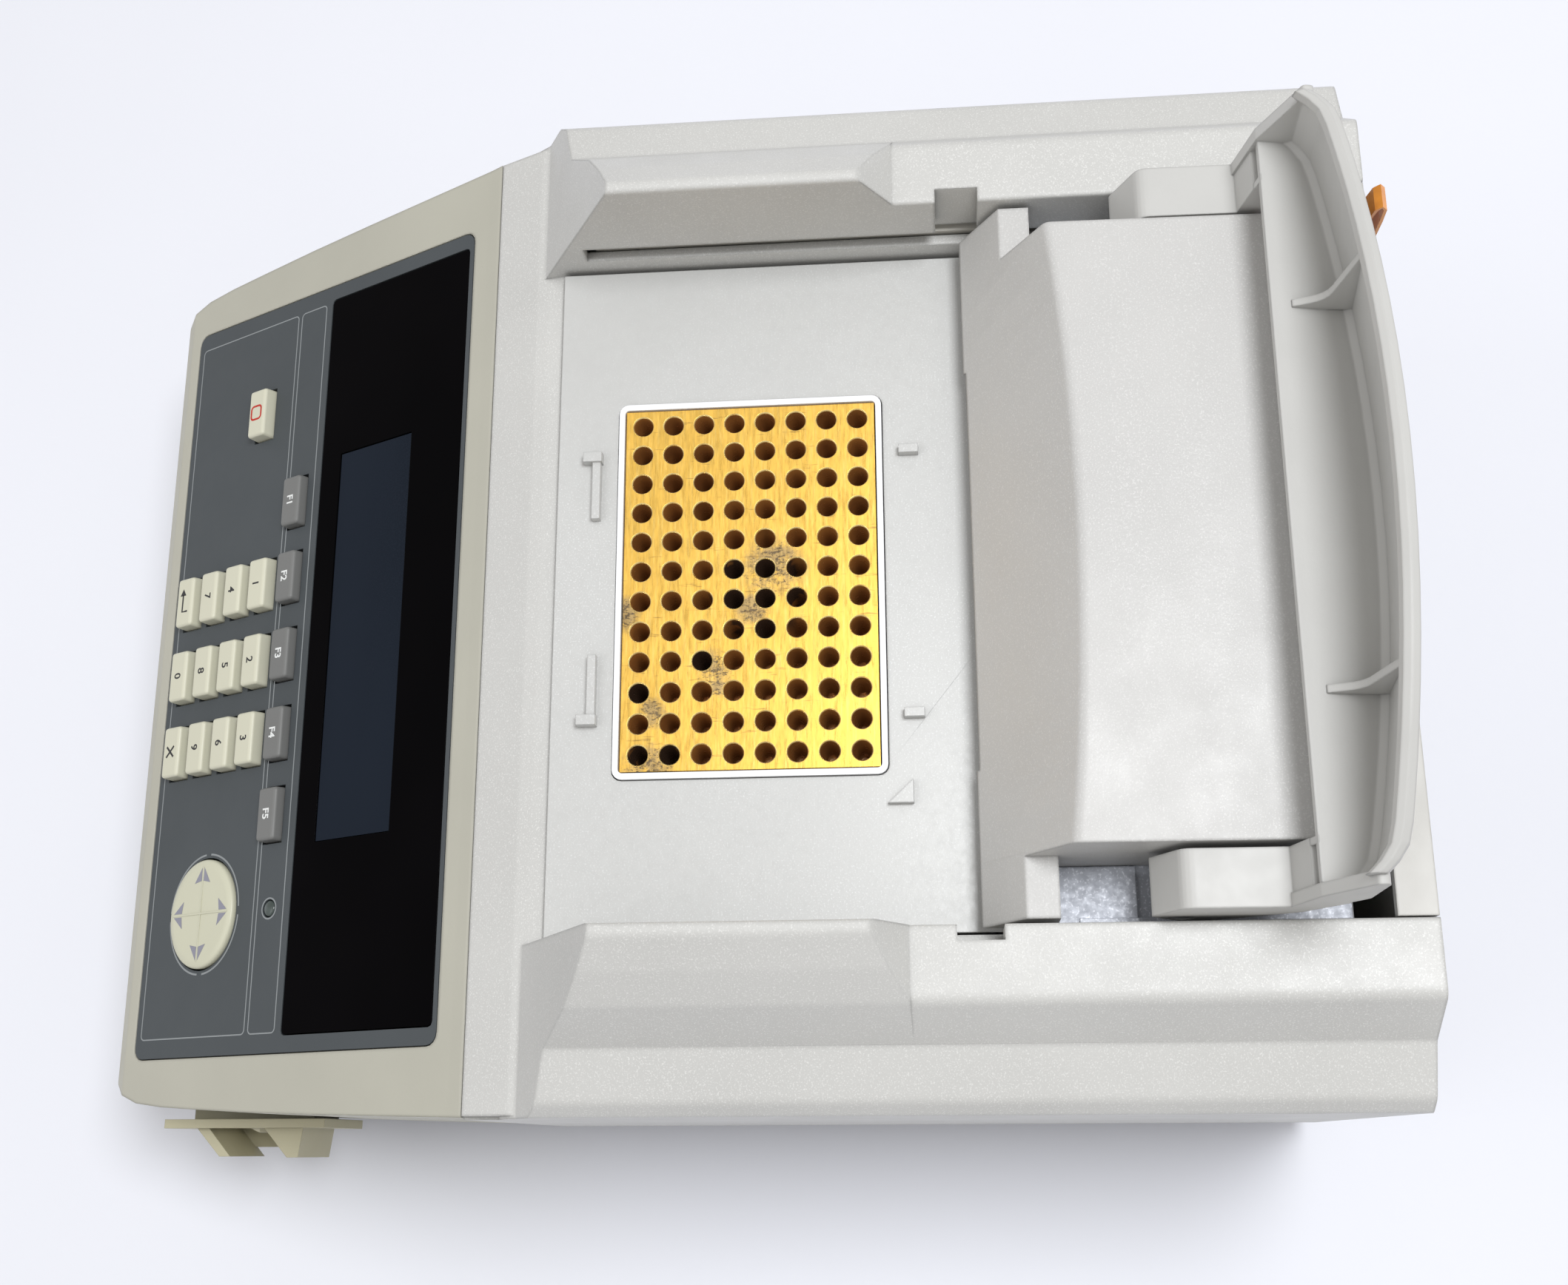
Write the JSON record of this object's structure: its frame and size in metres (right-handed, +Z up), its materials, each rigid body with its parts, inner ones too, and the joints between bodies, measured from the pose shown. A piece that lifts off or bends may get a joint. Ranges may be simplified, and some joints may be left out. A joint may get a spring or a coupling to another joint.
{
  "type": "thermal cycler",
  "caption": "Bench-top thermal cycler: sloped key panel and display, gold sample block with wells, sliding heated lid and a curved closing lever, shown open.",
  "frame": {"origin": "bottom centre of the bounding box, on the table plane under the feet", "axes": "+X the right side of the machine seen from its front, +Y to the rear, +Z up"},
  "size_m": [0.3048, 0.3924, 0.26],
  "materials": {
    "housing": "fine moulded texture",
    "casing": "fine moulded texture",
    "rear_panel": "fine moulded texture",
    "lid": "fine moulded texture",
    "lever": "fine moulded texture",
    "base_metal": "satin",
    "rubber_foot": "matte",
    "overlay": "satin film",
    "window": "high gloss",
    "lcd": "gloss",
    "circuit_board": "satin",
    "key_ivory": "satin",
    "key_stop": "satin",
    "key_grey": "satin",
    "pad_ivory": "satin",
    "led_lens": "gloss",
    "deck_paint": "sparkle paint",
    "white_seal": "smooth",
    "gold_block": "satin plated",
    "ceramic": "matte",
    "aluminium": "extruded",
    "dark_plastic": "satin",
    "supply_case": "plated",
    "switch_cream": "satin",
    "rocker_cream": "satin",
    "steel": "satin",
    "platen": "machined",
    "heater_pad": "matte",
    "amber_film": "gloss film"
  },
  "bodies": {
    "machine": {"main_housing": "housing", "panel_casing": "casing", "base_pan": "base_metal", "foot_front_left": "rubber_foot", "foot_front_right": "rubber_foot", "foot_rear_left": "rubber_foot", "foot_rear_right": "rubber_foot", "panel_bezel": "overlay", "display_window": "window", "lcd_module": "lcd", "keypad_board": "circuit_board", "power_led": "led_lens", "deck_plate": "deck_paint", "block_gasket": "white_seal", "sample_block": "gold_block", "thermoelectric_layer": "ceramic", "heat_sink": "aluminium", "fan_frame": "dark_plastic", "power_supply": "supply_case", "main_board": "circuit_board", "rear_panel": "rear_panel", "power_inlet": "dark_plastic", "switch_bezel": "switch_cream", "slide_rail_left": "steel", "slide_rail_right": "steel", "board_standoff_front_left": "steel", "board_standoff_front_right": "steel", "board_standoff_rear_left": "steel", "board_standoff_rear_right": "steel"},
    "lid": {"lid_cover": "lid", "lid_frame": "steel", "lever_pin_left": "steel", "lever_pin_right": "steel", "flex_cable": "amber_film"},
    "platen": {"heated_platen": "platen", "platen_heater_pad": "heater_pad"},
    "lever": {"lever": "lever"},
    "fan": {"fan_rotor": "dark_plastic"},
    "pad_tilt": {"pad_gimbal": "dark_plastic"},
    "pad": {"arrow_pad": "pad_ivory"},
    "rocker": {"switch_rocker": "rocker_cream"},
    "key_stop": {"key_stop": "key_stop"},
    "key_1": {"key_1": "key_ivory"},
    "key_2": {"key_2": "key_ivory"},
    "key_3": {"key_3": "key_ivory"},
    "key_4": {"key_4": "key_ivory"},
    "key_5": {"key_5": "key_ivory"},
    "key_6": {"key_6": "key_ivory"},
    "key_7": {"key_7": "key_ivory"},
    "key_8": {"key_8": "key_ivory"},
    "key_9": {"key_9": "key_ivory"},
    "key_enter": {"key_enter": "key_ivory"},
    "key_0": {"key_0": "key_ivory"},
    "key_clear": {"key_clear": "key_ivory"},
    "key_f1": {"key_f1": "key_grey"},
    "key_f2": {"key_f2": "key_grey"},
    "key_f3": {"key_f3": "key_grey"},
    "key_f4": {"key_f4": "key_grey"},
    "key_f5": {"key_f5": "key_grey"}
  },
  "joints": [
    {"name": "lid_slide", "type": "slide", "parent": "machine", "child": "lid", "axis": [0, -1, 0], "range_m": [0, 0.105]},
    {"name": "lever_hinge", "type": "hinge", "parent": "lid", "child": "lever", "pos_m": [-0.00495, 0.1332, 0.191], "axis": [1, 0, 0], "range_deg": [0, 130]},
    {"name": "platen_press", "type": "slide", "parent": "lid", "child": "platen", "axis": [0, 0, -1], "range_m": [0, 0.005]},
    {"name": "fan_spin", "type": "hinge", "parent": "machine", "child": "fan", "pos_m": [-0.00495, 0.0212, 0.085], "axis": [0, 0, 1], "continuous": true},
    {"name": "pad_tilt_sideways", "type": "hinge", "parent": "machine", "child": "pad_tilt", "pos_m": [0.07745, -0.15922, 0.08976], "axis": [0, 0.873, 0.4877], "range_deg": [-3, 3], "stiffness_Nm_per_rad": 0.08},
    {"name": "pad_tilt_updown", "type": "hinge", "parent": "pad_tilt", "child": "pad", "pos_m": [0.07745, -0.15922, 0.08976], "axis": [1, 0, 0], "range_deg": [-3, 3], "stiffness_Nm_per_rad": 0.08},
    {"name": "rocker_hinge", "type": "hinge", "parent": "machine", "child": "rocker", "pos_m": [0.13605, -0.1567, 0.054], "axis": [0, 0, 1], "range_deg": [0, 16]},
    {"name": "key_stop_press", "type": "slide", "parent": "machine", "child": "key_stop", "axis": [0, 0.4877, -0.873], "range_m": [0, 0.001], "stiffness_N_per_m": 300},
    {"name": "key_1_press", "type": "slide", "parent": "machine", "child": "key_1", "axis": [0, 0.4877, -0.873], "range_m": [0, 0.001], "stiffness_N_per_m": 300},
    {"name": "key_2_press", "type": "slide", "parent": "machine", "child": "key_2", "axis": [0, 0.4877, -0.873], "range_m": [0, 0.001], "stiffness_N_per_m": 300},
    {"name": "key_3_press", "type": "slide", "parent": "machine", "child": "key_3", "axis": [0, 0.4877, -0.873], "range_m": [0, 0.001], "stiffness_N_per_m": 300},
    {"name": "key_4_press", "type": "slide", "parent": "machine", "child": "key_4", "axis": [0, 0.4877, -0.873], "range_m": [0, 0.001], "stiffness_N_per_m": 300},
    {"name": "key_5_press", "type": "slide", "parent": "machine", "child": "key_5", "axis": [0, 0.4877, -0.873], "range_m": [0, 0.001], "stiffness_N_per_m": 300},
    {"name": "key_6_press", "type": "slide", "parent": "machine", "child": "key_6", "axis": [0, 0.4877, -0.873], "range_m": [0, 0.001], "stiffness_N_per_m": 300},
    {"name": "key_7_press", "type": "slide", "parent": "machine", "child": "key_7", "axis": [0, 0.4877, -0.873], "range_m": [0, 0.001], "stiffness_N_per_m": 300},
    {"name": "key_8_press", "type": "slide", "parent": "machine", "child": "key_8", "axis": [0, 0.4877, -0.873], "range_m": [0, 0.001], "stiffness_N_per_m": 300},
    {"name": "key_9_press", "type": "slide", "parent": "machine", "child": "key_9", "axis": [0, 0.4877, -0.873], "range_m": [0, 0.001], "stiffness_N_per_m": 300},
    {"name": "key_enter_press", "type": "slide", "parent": "machine", "child": "key_enter", "axis": [0, 0.4877, -0.873], "range_m": [0, 0.001], "stiffness_N_per_m": 300},
    {"name": "key_0_press", "type": "slide", "parent": "machine", "child": "key_0", "axis": [0, 0.4877, -0.873], "range_m": [0, 0.001], "stiffness_N_per_m": 300},
    {"name": "key_clear_press", "type": "slide", "parent": "machine", "child": "key_clear", "axis": [0, 0.4877, -0.873], "range_m": [0, 0.001], "stiffness_N_per_m": 300},
    {"name": "key_f1_press", "type": "slide", "parent": "machine", "child": "key_f1", "axis": [0, 0.4877, -0.873], "range_m": [0, 0.001], "stiffness_N_per_m": 300},
    {"name": "key_f2_press", "type": "slide", "parent": "machine", "child": "key_f2", "axis": [0, 0.4877, -0.873], "range_m": [0, 0.001], "stiffness_N_per_m": 300},
    {"name": "key_f3_press", "type": "slide", "parent": "machine", "child": "key_f3", "axis": [0, 0.4877, -0.873], "range_m": [0, 0.001], "stiffness_N_per_m": 300},
    {"name": "key_f4_press", "type": "slide", "parent": "machine", "child": "key_f4", "axis": [0, 0.4877, -0.873], "range_m": [0, 0.001], "stiffness_N_per_m": 300},
    {"name": "key_f5_press", "type": "slide", "parent": "machine", "child": "key_f5", "axis": [0, 0.4877, -0.873], "range_m": [0, 0.001], "stiffness_N_per_m": 300}
  ],
  "couplings": [
    {"joint": "platen_press", "follows": "lever_hinge", "m_per_rad": 0.0022037}
  ]
}
